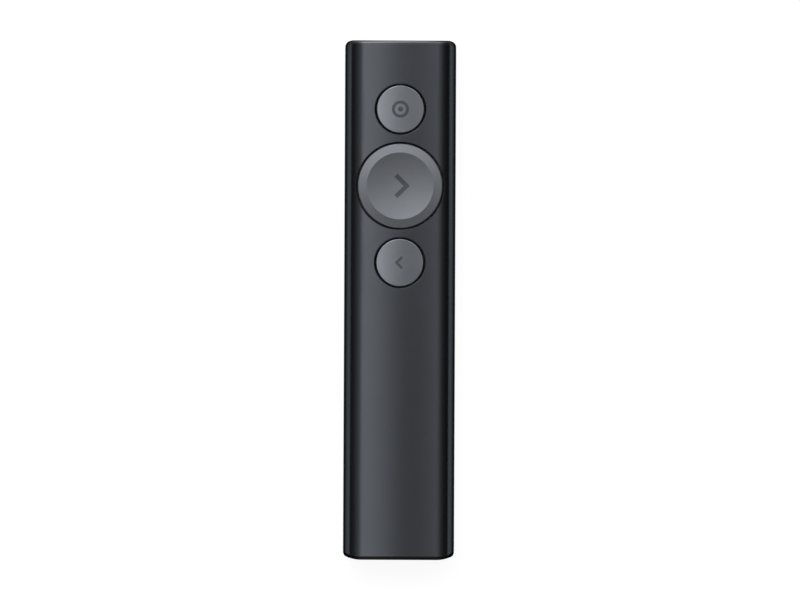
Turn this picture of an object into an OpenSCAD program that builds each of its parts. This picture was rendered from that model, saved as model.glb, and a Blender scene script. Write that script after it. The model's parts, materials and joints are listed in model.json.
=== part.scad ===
/* [Housing] */
// Overall length over both end caps
body_l = 131.3; // [120:0.1:160]
// Overall width
body_w = 28.1; // [27.8:0.1:34]
// Thickness from the flat back to the top of the crown
body_h = 12.1; // [11:0.1:14]
// Radius of the two upper side rounds
shoulder_r = 5.5; // [5.2:0.05:5.8]
// How far the crown rises above the two upper side rounds
crown_rise = 0.55; // [0.4:0.05:0.8]
// Wall of the aluminium tube
tube_wall = 1.2; // [0.9:0.05:1.3]
// Radius of the curves at the pointer end's corners, seen from above
front_curve_r = 3; // [2.6:0.1:6]
// How far from the side the pointer end's curves begin
front_curve_reach = 2.2; // [1.8:0.1:2.4]
// Radius of the curves at the rear end's corners, seen from above
rear_curve_r = 9; // [7:0.5:12]
// How far from the side the rear end's curves begin
rear_curve_reach = 4.5; // [3.5:0.1:4.8]
// Rounding where an end's curve meets the side
end_corner_r = 1; // [0.6:0.1:1.6]
// Rounding of the end edges, seen from the side
end_edge_r = 0.8; // [0.5:0.05:1]

/* [End caps] */
// Thickness of the cap face that shows past the tube
cap_lip = 0.8; // [0.6:0.1:2]
// Depth of the cap's collar inside the tube
collar_l = 4; // [3.6:0.1:5]
// Wall of the collar
collar_wall = 0.9; // [0.8:0.05:1]

/* [Fits] */
// Gap between the tube and what slides into it
slide_gap = 0.1; // [0.05:0.01:0.15]
// Gap between inner pieces that stand beside each other
part_gap = 0.2; // [0.15:0.01:0.3]
// Gap round a socket or receiver in its opening
port_gap = 0.15; // [0.1:0.01:0.2]

/* [Keys] */
// Distance from the pointer end to the centre of the pointer key
pointer_from_end = 17.35; // [17:0.05:19]
// Spacing of the three key centres
key_pitch = 19.4; // [18.8:0.1:20]
// Diameter of the pointer and back keys
small_key_d = 11.9; // [11:0.1:12.6]
// Diameter of the next key
next_key_d = 21.3; // [19:0.1:21.8]
// Gap round a small key
small_key_gap = 0.33; // [0.2:0.01:0.5]
// Gap round the next key
next_key_gap = 0.43; // [0.25:0.01:0.6]
// How far a small key stands above the crown
small_key_proud = 0.25; // [0.1:0.05:0.6]
// How far the next key's ridge stands above the crown
next_key_proud = 0.5; // [0.4:0.05:0.9]
// Diameter of the next key's dish
dish_d = 16.9; // [14:0.1:17.5]
// Slope of the dish at its rim and of the ring round it, in degrees
dish_slope = 9; // [4:0.5:11]
// Rounding of the next key's outer edge
next_edge_r = 0.4; // [0.2:0.05:0.6]
// Width of the bevel on a small key's edge
small_bevel = 0.25; // [0.1:0.05:0.4]
// Width of the bevel round a small key's hole
hole_bevel = 0.27; // [0.1:0.01:0.4]
// Thickness of a key's top
key_top_t = 0.9; // [0.7:0.05:1]
// Wall of a key's skirt
key_skirt = 0.9; // [0.7:0.05:1.2]
// Travel of a key
key_travel = 0.4; // [0.35:0.01:0.42]
// Thickness of a key's snap hook
hook_t = 0.8; // [0.6:0.05:0.9]
// Width of a key's snap hook
hook_w = 2.4; // [1.8:0.1:3]
// How far a hook's barb reaches past the hook
barb_reach = 0.5; // [0.4:0.05:0.6]
// Diameter of the pin in the middle of a key
key_pin_d = 2.4; // [1.8:0.1:2.8]

/* [Inner frame] */
// Wall of the chassis tray
chassis_wall = 1; // [0.8:0.05:1.1]
// Height of the bosses that hold the board above the tray
board_lift = 2.1; // [2:0.05:2.3]
// Thickness of the circuit board
board_t = 0.8; // [0.6:0.05:1]
// Height of the key carrier's legs above the board
carrier_lift = 2.4; // [2.4:0.05:2.6]
// Thickness of the key carrier
carrier_t = 1; // [0.8:0.05:1.1]
// Diameter of a carrier leg and of the boss under it
leg_d = 3.8; // [3.2:0.1:4]
// Spacing of the two screw rows across the width
screw_span = 18; // [17:0.1:18.6]
// Distance of the front pair of screws from the pointer key's centre
front_screw_from_key = 7.7; // [7.5:0.1:8]
// Distance of the two inner pairs of screws from the next key's centre
inner_screw_from_key = 13.6; // [13.4:0.1:14]
// How far the key carrier reaches past the front screws
carrier_front_margin = 2.2; // [2:0.1:2.4]
// How far the key carrier reaches past the back key's rim
carrier_back_margin = 1.95; // [1.5:0.05:2.5]
// Spacing of the ribs across the tray
rib_pitch = 16; // [8:1:30]
// Height of the ribs above the tray
rib_h = 0.4; // [0.2:0.05:0.5]
// Diameter of a screw's shank
screw_d = 1.4; // [1.2:0.1:1.6]
// Diameter of a screw's head
screw_head_d = 2.6; // [2.4:0.1:3]
// Height of a screw's head
screw_head_h = 0.7; // [0.5:0.05:0.8]
// Width of a tongue that the end caps snap over
tongue_w = 3; // [2:0.1:4]
// Thickness of a tongue
tongue_t = 0.3; // [0.2:0.05:0.35]

/* [Switches] */
// Side of a switch's square base
switch_w = 4.5; // [4:0.1:5]
// Height of a switch's base
switch_base_h = 1.5; // [1.4:0.05:1.6]
// Height of a switch up to the top of its plunger
switch_h = 2.2; // [2.15:0.05:2.35]
// Thickness of a switch's steel cover
cover_t = 0.15; // [0.1:0.01:0.2]
// Diameter of a plunger's stem
plunger_d = 1.8; // [1.4:0.1:2.2]
// Thickness of a switch's snap dome
dome_t = 0.1; // [0.08:0.01:0.12]

/* [Battery and motor] */
// Width of the battery cell
battery_w = 19; // [15:0.1:20]
// Room between the battery cell and the receiver's bay, which sets the cell's length
battery_end_gap = 6.2; // [1:0.1:16]
// Room between the tube and the battery cell's long edges, which sets the cell's thickness
battery_roof_gap = 0.84; // [0.5:0.02:1.8]
// Diameter of the vibration motor
motor_d = 8; // [7:0.1:8.4]
// Thickness of the vibration motor
motor_t = 2.7; // [2:0.1:3.4]
// Thickness of the adhesive under the battery and the motor
tape_t = 0.2; // [0.1:0.05:0.25]
// Diameter of a battery wire
wire_d = 0.8; // [0.6:0.05:0.9]

/* [Rear openings] */
// Gap between the charging socket and the receiver's bay, which stand side by side
socket_gap = 0.38; // [0.3:0.01:0.5]
// Width of the charging socket's shell
usb_w = 8.94; // [8.7:0.02:9.1]
// Height of the charging socket's shell
usb_h = 3.26; // [3.1:0.02:3.4]
// Length of the charging socket's shell
usb_l = 7.3; // [6.5:0.1:8]
// Depth of the socket's mouth behind the cap's face
usb_recess = 0.3; // [0.1:0.05:0.5]
// How far the receiver's middle lies below the housing's widest height
receiver_drop = 0.1; // [0:0.02:0.15]
// Width of the receiver's moulded body
receiver_w = 12.8; // [12.5:0.1:13]
// Height of the receiver's moulded body
receiver_h = 5.3; // [5:0.1:5.4]
// Length of the receiver's moulded body
receiver_l = 6; // [5:0.1:6.5]
// Width of the receiver's plug
plug_w = 12; // [11.8:0.1:12.2]
// Height of the receiver's plug
plug_h = 4.5; // [4.3:0.1:4.6]
// Length of the receiver's plug
plug_l = 12; // [11:0.1:12.5]
// Sheet thickness of the plug's and the socket's shells
shell_t = 0.3; // [0.2:0.05:0.35]
// Wall of the receiver's bay
bay_wall = 0.5; // [0.4:0.05:0.6]

/* [Hidden] */
$fn = 96;
// Segments of a full circle where only a shallow arc of it is used
shallow_fn = 360;

// Colours
slate = "#3c4045";
black_plastic = "#191a1c";
key_grey = "#6d6f72";
frame_grey = "#2b2d30";
board_green = "#1d5a3a";
steel = "#b9bcc0";
gold = "#c9a24a";
foam = "#3a3a3a";
foil = "#c4c6c9";

// The housing's cross-section: two big rounds below, two shoulders and a shallow crown above.
// Both pairs of rounds have their centres at the height where the housing is widest.
mid_z = body_h - crown_rise - shoulder_r;
low_x = body_w / 2 - mid_z;
up_x = body_w / 2 - shoulder_r;
crown_h = shoulder_r + crown_rise;
crown_r = (up_x * up_x + crown_h * crown_h - shoulder_r * shoulder_r) / (2 * crown_rise);
body_end = body_l / 2;
tube_end = body_end - cap_lip;
collar_end = tube_end - collar_l;

// Heights of the layers, from the back up
tray_under = tube_wall + slide_gap;
tray_z = tray_under + chassis_wall;
board_z = tray_z + board_lift;
board_top = board_z + board_t;
carrier_z = board_top + carrier_lift;
carrier_top = carrier_z + carrier_t;
skirt_z = carrier_top + 2 * key_travel;
plunger_top = board_top + switch_h;
cover_z = board_top + switch_base_h;
switch_floor = 0.35;
dome_h = 1.5 * key_travel;
dome_z = board_top + switch_floor;
touch_gap = 0.05;
// How far two shapes of one piece reach into each other
lap = 0.1;
corner_cross = 0.02;
barb_h = 0.7;

// Places along the length
pointer_y = body_end - pointer_from_end;
next_y = pointer_y - key_pitch;
back_y = next_y - key_pitch;
chassis_end = collar_end - part_gap;
front_screw_y = pointer_y + front_screw_from_key;
screw_ys = [front_screw_y, next_y + inner_screw_from_key, next_y - inner_screw_from_key];
carrier_front = front_screw_y + carrier_front_margin;
carrier_back = back_y - small_key_d / 2 - carrier_back_margin;
motor_y = carrier_back - part_gap - motor_d / 2;
wire_room = 2.6;
battery_front = motor_y - motor_d / 2 - wire_room;
board_front = chassis_end - part_gap;

// Keys
small_r = small_key_d / 2;
next_r = next_key_d / 2;
small_top = body_h + small_key_proud;
ridge_z = body_h + next_key_proud;
dish_r = dish_d / 2;
dish_ball = dish_r / sin(dish_slope);
dish_floor = ridge_z - dish_ball * (1 - cos(dish_slope));
// How far the crown falls from its middle line to a small key's rim
crown_sag = crown_r - sqrt(crown_r * crown_r - small_r * small_r);

// The bay for the receiver
bay_w = receiver_w + 2 * (port_gap + bay_wall);
bay_h = receiver_h + 2 * (port_gap + bay_wall);
receiver_x = (usb_w + socket_gap) / 2;
receiver_z = mid_z - receiver_drop;
receiver_corner = 0.8;
plug_root = -body_end + receiver_l;
plug_tip = plug_root + plug_l;
bay_floor_y = plug_tip + part_gap;
bay_front = bay_floor_y + 2 * bay_wall;
spring_y = (plug_tip + plug_root) / 2;
spring_half = 4;
spring_w = 3;
spring_t = 0.2;

// The charging socket
usb_x = (bay_w + socket_gap) / 2;
usb_z = board_top + usb_h / 2;
usb_mouth = -body_end + usb_recess;
usb_back = usb_mouth + usb_l;

// The inside half width of a shell at height z, and the height of its roof over x
function half_width(z, inset) = z < mid_z
    ? low_x + sqrt(pow(mid_z - inset, 2) - pow(mid_z - z, 2))
    : up_x + sqrt(pow(shoulder_r - inset, 2) - pow(z - mid_z, 2));
function roof_z(x, inset) = x < up_x
    ? mid_z + shoulder_r - inset
    : mid_z + sqrt(pow(shoulder_r - inset, 2) - pow(x - up_x, 2));

// How far an end curve of radius r, which begins reach from the side, has fallen back at x
function curve_fall(x, r, reach) = x > body_w / 2 - reach
    ? r - sqrt(r * r - pow(x - body_w / 2 + reach, 2))
    : 0;

board_half = half_width(board_z, tray_under) - 2 * part_gap;
board_inner_half = half_width(board_z, tray_under + collar_wall) - part_gap;
board_rear = -tube_end + part_gap + curve_fall(board_inner_half, rear_curve_r, rear_curve_reach);
carrier_half = half_width(carrier_top, tube_wall) - 2 * part_gap;
battery_back = bay_front + battery_end_gap;
battery_z = board_top + tape_t;
battery_t = roof_z(battery_w / 2, tube_wall) - battery_roof_gap - battery_z;

// ---- Shared shapes ----

module section(inset = 0) {
    tangent_x = (crown_r - inset) * up_x / (crown_r - shoulder_r);
    intersection() {
        union() {
            for (s = [-1, 1])
                translate([s * low_x, mid_z])
                    circle(r = mid_z - inset);
            translate([-low_x, inset])
                square([2 * low_x, mid_z]);
        }
        translate([-body_w, -body_h])
            square([2 * body_w, body_h + mid_z]);
    }
    intersection() {
        union() {
            for (s = [-1, 1])
                translate([s * up_x, mid_z])
                    circle(r = shoulder_r - inset);
            intersection() {
                translate([0, body_h - crown_r])
                    circle(r = crown_r - inset, $fn = shallow_fn);
                translate([-tangent_x, mid_z - 1])
                    square([2 * tangent_x, body_h]);
            }
        }
        translate([-body_w, mid_z])
            square([2 * body_w, body_h]);
    }
}

module along_y(y0, y1) {
    translate([0, y1, 0])
        rotate([90, 0, 0])
            linear_extrude(height = y1 - y0)
                children();
}

module rounded_rect(w, l, r) {
    square([w - 2 * r, l], center = true);
    square([w, l - 2 * r], center = true);
    for (sx = [-1, 1], sy = [-1, 1])
        translate([sx * (w / 2 - r), sy * (l / 2 - r)])
            circle(r = r);
}

module box(x0, x1, y0, y1, z0, z1) {
    translate([x0, y0, z0])
        cube([x1 - x0, y1 - y0, z1 - z0]);
}

module rod(r, z0, z1) {
    translate([0, 0, z0])
        cylinder(r = r, h = z1 - z0);
}

// The children, and their mirror image on the other side of the middle line
module both_sides() {
    children();
    mirror([1, 0, 0])
        children();
}

module at_keys(ys = [pointer_y, next_y, back_y]) {
    for (y = ys)
        translate([0, y, 0])
            children();
}

module at_screws() {
    for (s = [-1, 1], y = screw_ys)
        translate([s * screw_span / 2, y, 0])
            children();
}

// Half of the outline seen from above, from the middle to an end at y = end. A curve of radius r
// begins reach from the side, and a small round leads from it to just outside the side.
module end_plan(end, r, reach) {
    curve_x = body_w / 2 - reach;
    corner_x = body_w / 2 + lap - end_corner_r;
    corner_y = end - r + sqrt(pow(r - end_corner_r, 2) - pow(corner_x - curve_x, 2));
    // where the small round touches the curve
    touch_x = curve_x + (corner_x - curve_x) * r / (r - end_corner_r);
    intersection() {
        rounded_rect(2 * (curve_x + r), 2 * end, r);
        union() {
            translate([-body_w / 2 - lap, 0])
                square([body_w + 2 * lap, corner_y]);
            translate([-touch_x, 0])
                square([2 * touch_x, body_l]);
            // the small rounds reach a little past the curves, so that they cross
            for (s = [-1, 1])
                translate([s * corner_x, corner_y + corner_cross])
                    circle(r = end_corner_r);
        }
    }
}

// The outline seen from above, with each end drawn in by g
module plan(g) {
    end_plan(body_end - g, front_curve_r, front_curve_reach);
    mirror([0, 1])
        end_plan(body_end - g, rear_curve_r, rear_curve_reach);
}

module plan_block(g) {
    translate([0, 0, -1])
        linear_extrude(height = body_h + 2)
            plan(g);
}

// The whole outside, with both ends rounded from the side too
module outer_form() {
    intersection() {
        along_y(-body_end, body_end)
            section();
        plan_block(0);
        translate([-body_w / 2 - 1, 0, mid_z])
            rotate([0, 90, 0])
                linear_extrude(height = body_w + 2)
                    rounded_rect(body_h, body_l, end_edge_r);
    }
}

// The envelope of the receiver's bay, grown on every side by g
module bay_envelope(g) {
    along_y(-tube_end, bay_front + g)
        translate([-receiver_x, receiver_z])
            square([bay_w + 2 * g, bay_h + 2 * g], center = true);
}

module usb_outline(g) {
    translate([usb_x, usb_z]) {
        square([usb_w - usb_h, usb_h + 2 * g], center = true);
        for (s = [-1, 1])
            translate([s * (usb_w - usb_h) / 2, 0])
                circle(d = usb_h + 2 * g);
    }
}

// ---- Housing ----

module key_hole(r, bevel) {
    rod(r, mid_z, body_h + 2);
    // a steep bevel, so that it shows all round the crowned edge
    translate([0, 0, body_h - 2 * bevel])
        cylinder(r1 = r, r2 = r + 2 * bevel, h = 4 * bevel);
}

module housing_tube() {
    color(slate)
        difference() {
            intersection() {
                along_y(-tube_end, tube_end)
                    section();
                plan_block(cap_lip);
            }
            along_y(-body_l, body_l)
                section(tube_wall);
            at_keys([pointer_y, back_y])
                key_hole(small_r + small_key_gap, hole_bevel);
            at_keys([next_y])
                rod(next_r + next_key_gap, mid_z, body_h + 2);
        }
}

// The collar of an end cap: a ring inside the tube, with windows that snap over the tongues
module collar(end, tongue_xs) {
    y0 = end > 0 ? collar_end : -tube_end;
    difference() {
        along_y(y0, y0 + collar_l)
            difference() {
                section(tray_under);
                section(tray_under + collar_wall);
            }
        for (x = tongue_xs)
            tongue_window(x, end, port_gap);
    }
}

// The lip of an end cap, which follows the tube's curved end
module end_face(end) {
    difference() {
        intersection() {
            outer_form();
            box(-body_w, body_w, end > 0 ? 0 : -body_l, end > 0 ? body_l : 0, -1, 2 * body_h);
        }
        plan_block(cap_lip);
    }
}

module front_cap() {
    color(black_plastic) {
        end_face(1);
        collar(1, [-tongue_x, tongue_x]);
    }
}

module rear_cap() {
    color(black_plastic)
        difference() {
            union() {
                end_face(-1);
                collar(-1, [tongue_x]);
            }
            bay_envelope_cut();
            along_y(-body_l, -collar_end)
                translate([-receiver_x, receiver_z])
                    rounded_rect(receiver_w + 2 * port_gap, receiver_h + 2 * port_gap,
                        receiver_corner + port_gap);
            along_y(-body_l, -collar_end)
                usb_outline(port_gap);
        }
}

module bay_envelope_cut() {
    difference() {
        bay_envelope(part_gap);
        box(-body_w, body_w, -body_l, -tube_end, -1, 2 * body_h);
    }
}

// ---- Chassis ----

tongue_x = usb_x;
tongue_reach = 2.8;
tongue_root = 2;
tongue_barb_l = 0.8;
tongue_barb_lift = 0.3;
rib_t = 1;
rib_from_end = 4.65;
cradle_w = 8;
cradle_inset = 2;
screw_gap = 0.1;
thread_gap = 0.02;
boss_floor = 0.4;

// A stretch of a tongue from y = a to y = b at one end, with gap g all round.
// end is 1 at the front and -1 at the rear.
module tongue_box(x, end, a, b, z0, z1, g) {
    box(x - tongue_w / 2 - g, x + tongue_w / 2 + g, min(end * a, end * b) - g,
        max(end * a, end * b) + g, z0, z1);
}

// A tongue, rooted in the tray, with a barb that hooks down behind the collar's window
module tongue(x, end) {
    tip = chassis_end + tongue_reach;
    tongue_box(x, end, chassis_end - tongue_root, tip, tray_z, tray_z + tongue_t, 0);
    tongue_box(x, end, chassis_end - tongue_root, chassis_end, tray_z - lap, tray_z + lap, 0);
    tongue_box(x, end, tip - tongue_barb_l, tip, tray_under + tongue_barb_lift,
        tray_z + lap, 0);
}

// The room that a collar leaves for a tongue and its barb
module tongue_window(x, end, g) {
    tip = chassis_end + tongue_reach;
    tongue_box(x, end, chassis_end, tip, tray_z - g, tray_z + tongue_t, g);
    tongue_box(x, end, tip - tongue_barb_l, tip, tray_under - lap, tray_z, g);
}

module chassis() {
    rib_ys = [for (y = [chassis_end - rib_from_end : -rib_pitch : bay_front + rib_t]) y];
    cradle_ys = [-tube_end + collar_l + cradle_inset, bay_front - cradle_inset];
    color(frame_grey)
        difference() {
            union() {
                intersection() {
                    along_y(-chassis_end, chassis_end)
                        difference() {
                            section(tray_under);
                            section(tray_z);
                        }
                    box(-body_w, body_w, -body_l, body_l, 0, board_z);
                }
                // cross ribs and screw bosses, cut to the tray's outline
                intersection() {
                    along_y(-chassis_end, chassis_end)
                        section(tray_under);
                    union() {
                        for (y = rib_ys)
                            box(-body_w, body_w, y - rib_t / 2, y + rib_t / 2,
                                tray_under, tray_z + rib_h);
                        at_screws()
                            rod(leg_d / 2, tray_under, board_z);
                    }
                }
                // cradle for the receiver's bay
                for (y = cradle_ys)
                    box(-receiver_x - cradle_w / 2, -receiver_x + cradle_w / 2,
                        y - rib_t / 2, y + rib_t / 2, tray_under, receiver_z - bay_h / 2);
                for (x = [-tongue_x, tongue_x])
                    tongue(x, 1);
                tongue(tongue_x, -1);
            }
            bay_envelope(part_gap);
            at_screws()
                rod(screw_d / 2 + thread_gap, tray_z, board_z + 1);
        }
}

// ---- Board and carrier ----

module main_board() {
    bay_side = bay_w / 2 - receiver_x + part_gap;
    color(board_green)
        difference() {
            union() {
                box(-board_half, board_half, bay_front + part_gap, board_front,
                    board_z, board_top);
                box(bay_side, board_half, -chassis_end + part_gap, bay_front + 1,
                    board_z, board_top);
                box(bay_side, board_inner_half, board_rear, bay_front,
                    board_z, board_top);
            }
            at_screws()
                rod(screw_d / 2 + screw_gap, board_z - 1, board_top + 1);
        }
}

// The slots that a key's two hooks drop through, for a key of radius r
module hook_slots(r) {
    x0 = hook_x(r) - barb_reach - part_gap;
    x1 = hook_x(r) + hook_t + part_gap / 2;
    both_sides()
        box(x0, x1, -hook_w / 2 - part_gap, hook_w / 2 + part_gap,
            carrier_z - 1, carrier_top + 1);
}

carrier_corner = 2;
window_w = 8;
window_l = 3;
window_corner = 1.4;

module button_carrier() {
    color(frame_grey)
        difference() {
            intersection() {
                union() {
                    translate([0, (carrier_front + carrier_back) / 2, carrier_z])
                        linear_extrude(height = carrier_t)
                            rounded_rect(2 * carrier_half, carrier_front - carrier_back,
                                carrier_corner);
                    at_screws()
                        rod(leg_d / 2, board_top, carrier_top);
                }
                along_y(carrier_back, carrier_front)
                    section(tube_wall + part_gap);
            }
            at_screws() {
                rod(screw_d / 2 + screw_gap, board_top - 1, carrier_top + 1);
                rod(screw_head_d / 2 + screw_gap, carrier_top - screw_head_h, carrier_top + 1);
            }
            at_keys() {
                rod(key_pin_d / 2 + part_gap, carrier_z - 1, carrier_top + 1);
            }
            at_keys([pointer_y, back_y])
                hook_slots(small_r);
            at_keys([next_y])
                hook_slots(next_r);
            // windows that lighten the plate between the keys
            for (y = [(pointer_y + next_y) / 2, (back_y + next_y) / 2])
                translate([0, y, carrier_z - 1])
                    linear_extrude(height = carrier_t + 2)
                        rounded_rect(window_w, window_l, window_corner);
        }
}

// Screws whose heads sit flush in the carrier, each with a hexagonal socket
module carrier_screws() {
    color(steel)
        at_screws()
            difference() {
                union() {
                    rod(screw_head_d / 2, carrier_top - screw_head_h, carrier_top);
                    rod(screw_d / 2, tray_z + boss_floor, carrier_top - screw_head_h / 2);
                }
                translate([0, 0, carrier_top - screw_head_h / 2])
                    cylinder(d = screw_head_d / 2, h = screw_head_h, $fn = 6);
            }
}

// ---- Keys ----

function hook_x(r) = r - key_skirt - part_gap - hook_t;

// What hangs under a key's top: the middle pin and two snap hooks
module key_fittings(r, under) {
    rod(key_pin_d / 2, plunger_top, under + lap);
    both_sides() {
        box(hook_x(r), hook_x(r) + hook_t, -hook_w / 2, hook_w / 2,
            carrier_z - barb_h, under + lap);
        box(hook_x(r), hook_x(r) + hook_t + barb_reach, -hook_w / 2, hook_w / 2,
            carrier_z - barb_h, carrier_z - touch_gap);
    }
}

// A small key: a round cap whose top follows the housing's crown
module small_key() {
    under = small_top - crown_sag - key_top_t;
    difference() {
        intersection() {
            // a shaft with a steep taper at its top, which bevels the crowned edge all round
            rotate_extrude()
                polygon([
                    [0, skirt_z], [small_r, skirt_z], [small_r, small_top - 2 * small_bevel],
                    [small_r - 1.5 * small_bevel, small_top + small_bevel],
                    [0, small_top + small_bevel]
                ]);
            along_y(-small_key_d, small_key_d)
                section(-small_key_proud);
        }
        rod(small_r - key_skirt, skirt_z - 1, under);
    }
    key_fittings(small_r, under);
}

module pointer_button() {
    color(key_grey)
        at_keys([pointer_y])
            small_key();
}

module back_button() {
    color(key_grey)
        at_keys([back_y])
            small_key();
}

// The next key: a turned form with a shallow ball dish, a sloping ring and a rounded edge
module next_button() {
    under = dish_floor - key_top_t;
    ring_drop = (next_r - next_edge_r - dish_r) * tan(dish_slope);
    edge_z = ridge_z - ring_drop;
    color(key_grey)
        at_keys([next_y]) {
            difference() {
                rotate_extrude()
                    difference() {
                        union() {
                            polygon([
                                [0, skirt_z], [next_r, skirt_z], [next_r, edge_z - next_edge_r],
                                [next_r - next_edge_r, edge_z - next_edge_r],
                                [next_r - next_edge_r, edge_z], [dish_r, ridge_z], [0, ridge_z]
                            ]);
                            intersection() {
                                translate([next_r - next_edge_r, edge_z - next_edge_r])
                                    circle(r = next_edge_r);
                                translate([dish_r, skirt_z])
                                    square([next_r, body_h]);
                            }
                        }
                        intersection() {
                            translate([0, dish_floor + dish_ball])
                                circle(r = dish_ball, $fn = shallow_fn);
                            square([dish_r, 2 * body_h]);
                        }
                    }
                rod(next_r - key_skirt, skirt_z - 1, under);
            }
            key_fittings(next_r, under);
        }
}

module seal(r) {
    color(foam)
        difference() {
            rod(r - touch_gap, carrier_top, skirt_z);
            rod(r - key_skirt, carrier_top - 1, skirt_z + 1);
        }
}

module pointer_seal() {
    at_keys([pointer_y])
        seal(small_r);
}

module next_seal() {
    at_keys([next_y])
        seal(next_r);
}

module back_seal() {
    at_keys([back_y])
        seal(small_r);
}

// ---- Switches ----

well_r = 1.75;
flange_r = 1.5;
switch_corner = 0.4;
clip_w = 2;
clip_lift = 0.5;

module switch_base() {
    color(black_plastic)
        difference() {
            translate([0, 0, board_top])
                linear_extrude(height = switch_base_h)
                    rounded_rect(switch_w, switch_w, switch_corner);
            rod(well_r, dome_z, cover_z + 1);
        }
}

module switch_cover() {
    side = switch_w / 2;
    color(steel) {
        difference() {
            box(-side - cover_t, side + cover_t, -side, side, cover_z, cover_z + cover_t);
            rod(plunger_d / 2 + 2 * touch_gap, cover_z - 1, cover_z + 1);
        }
        both_sides()
            box(side, side + cover_t, -clip_w / 2, clip_w / 2,
                board_top + clip_lift, cover_z + cover_t);
    }
}

module dome() {
    ball = (flange_r * flange_r + dome_h * dome_h) / (2 * dome_h);
    color(steel)
        intersection() {
            translate([0, 0, dome_z + dome_h - ball])
                difference() {
                    sphere(r = ball);
                    sphere(r = ball - dome_t);
                }
            rod(well_r, dome_z, cover_z);
        }
}

module plunger() {
    flange_z = dome_z + dome_h + touch_gap;
    color(black_plastic) {
        rod(flange_r, flange_z, cover_z - touch_gap);
        rod(plunger_d / 2, flange_z, plunger_top);
    }
}

module pointer_switch_base() { at_keys([pointer_y]) switch_base(); }
module next_switch_base() { at_keys([next_y]) switch_base(); }
module back_switch_base() { at_keys([back_y]) switch_base(); }
module pointer_switch_cover() { at_keys([pointer_y]) switch_cover(); }
module next_switch_cover() { at_keys([next_y]) switch_cover(); }
module back_switch_cover() { at_keys([back_y]) switch_cover(); }
module pointer_dome() { at_keys([pointer_y]) dome(); }
module next_dome() { at_keys([next_y]) dome(); }
module back_dome() { at_keys([back_y]) dome(); }
module pointer_plunger() { at_keys([pointer_y]) plunger(); }
module next_plunger() { at_keys([next_y]) plunger(); }
module back_plunger() { at_keys([back_y]) plunger(); }

// ---- Radio and sensor ----

shield_w = 13;
shield_l = 18;
shield_h = 1.4;
shield_t = 0.2;
chip_w = 6;
chip_h = 0.9;
sensor_w = 3;
antenna_w = 16;
antenna_l = 1.5;
antenna_t = 0.3;
antenna_lift = 2;
antenna_foot_w = 1;
antenna_feet = [-antenna_w / 2, -antenna_w / 4];

// A box with its middle at y on the middle line, w wide and l long
module block(y, w, l, z0, z1) {
    box(-w / 2, w / 2, y - l / 2, y + l / 2, z0, z1);
}

module radio_shield() {
    color(steel)
        difference() {
            block(next_y, shield_w, shield_l, board_z - shield_h, board_z);
            block(next_y, shield_w - 2 * shield_t, shield_l - 2 * shield_t,
                board_z - shield_h + shield_t, board_z + 1);
        }
}

module radio_chip() {
    color(black_plastic)
        block(next_y, chip_w, chip_w, board_z - chip_h, board_z);
}

module motion_sensor() {
    color(black_plastic)
        block((pointer_y + next_y) / 2, sensor_w, sensor_w, board_top, board_top + chip_h);
}

// A flat strip that two feet hold over the board's front edge
module antenna() {
    arm_z = board_top + antenna_lift;
    front = board_front - antenna_t;
    color(gold) {
        box(-antenna_w / 2, antenna_w / 2, front - antenna_l, front, arm_z, arm_z + antenna_t);
        for (x = antenna_feet)
            box(x, x + antenna_foot_w, front - antenna_t, front,
                board_top, arm_z + antenna_t / 2);
    }
}

// ---- Battery and motor ----

battery_edge_r = 1;
battery_fold = 1.2;
battery_step = 0.5;
battery_shoulder = 2;
lead_lift = 1.4;
lead_spacing = 4;

module battery_cell() {
    color(foil) {
        along_y(battery_back, battery_front - battery_fold)
            translate([0, battery_z + battery_t / 2])
                rounded_rect(battery_w, battery_t, battery_edge_r);
        // the folded end with its protection strip
        box(-battery_w / 2 + battery_shoulder, battery_w / 2 - battery_shoulder,
            battery_front - battery_fold - battery_step, battery_front,
            battery_z + battery_step, battery_z + battery_t - 2 * battery_step);
    }
}

module battery_tape() {
    color(foam)
        box(-battery_w / 2 + battery_shoulder, battery_w / 2 - battery_shoulder,
            battery_back + battery_shoulder, battery_front - battery_fold - battery_shoulder,
            board_top, battery_z);
}

module battery_leads() {
    bend_r = 0.9;
    lead_z = battery_z + lead_lift;
    straight = 0.3;
    color("#a03028")
        for (x = [-lead_spacing / 2, lead_spacing / 2])
            translate([x, battery_front, lead_z]) {
                rotate([-90, 0, 0])
                    cylinder(d = wire_d, h = straight);
                translate([0, straight, -bend_r])
                    rotate([0, -90, 0])
                        rotate_extrude(angle = 90)
                            translate([bend_r, 0])
                                circle(d = wire_d);
                translate([0, straight + bend_r, board_top - lead_z])
                    cylinder(d = wire_d, h = lead_z - board_top - bend_r);
            }
}

motor_pad_inset = 0.4;
motor_step_r = 2.8;
motor_step_h = 0.1;

// A coin motor with a slightly raised middle
module vibration_motor() {
    motor_z = board_top + tape_t;
    color(steel)
        translate([0, motor_y, 0]) {
            rod(motor_d / 2, motor_z, motor_z + motor_t);
            rod(motor_step_r, motor_z, motor_z + motor_t + motor_step_h);
        }
}

module motor_pad() {
    color(foam)
        translate([0, motor_y, 0])
            rod(motor_d / 2 - motor_pad_inset, board_top, board_top + tape_t);
}

// ---- Charging socket ----

usb_back_wall = 2;
usb_leg_inset = 0.8;
usb_tongue_w = 6.7;
usb_tongue_t = 0.7;
usb_tongue_inset = 0.8;

// A drawn shell of oval section, with a leg down to the board on either side
module usb_port_shell() {
    color(steel) {
        along_y(usb_mouth, usb_back)
            difference() {
                usb_outline(0);
                usb_outline(-shell_t);
            }
        translate([usb_x, 0, 0])
            both_sides()
                box(usb_w / 2 - shell_t, usb_w / 2, usb_back - usb_back_wall,
                    usb_back - usb_leg_inset, board_top, usb_z);
    }
}

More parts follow.
